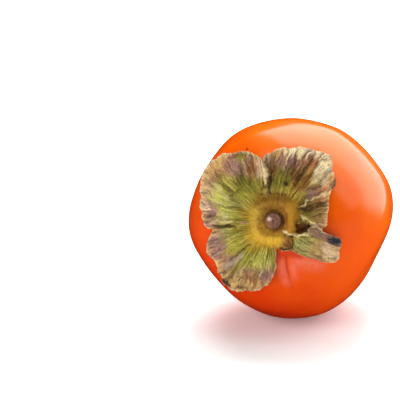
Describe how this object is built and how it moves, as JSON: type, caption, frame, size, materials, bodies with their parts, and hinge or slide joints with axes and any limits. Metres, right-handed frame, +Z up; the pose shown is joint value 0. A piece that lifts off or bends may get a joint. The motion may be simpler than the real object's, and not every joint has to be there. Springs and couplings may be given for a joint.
{
  "type": "persimmon",
  "caption": "Whole ripe persimmon of the pointed kind, lying on its side, with its dry lobed calyx, the stub of its stem and the dry tip of its style.",
  "frame": {"origin": "centre of the small flat spot of skin that the fruit rests on", "axes": "+Z up, the calyx faces -Y and slightly up, and the pointed end is towards +Y"},
  "size_m": [0.0714, 0.0865, 0.0705],
  "materials": {
    "skin": "satin",
    "calyx": "matte",
    "stub": "satin",
    "style": "matte"
  },
  "bodies": {
    "root": {"fruit": "skin", "calyx": "calyx", "stem_stub": "stub", "style_tip": "style"}
  },
  "joints": []
}
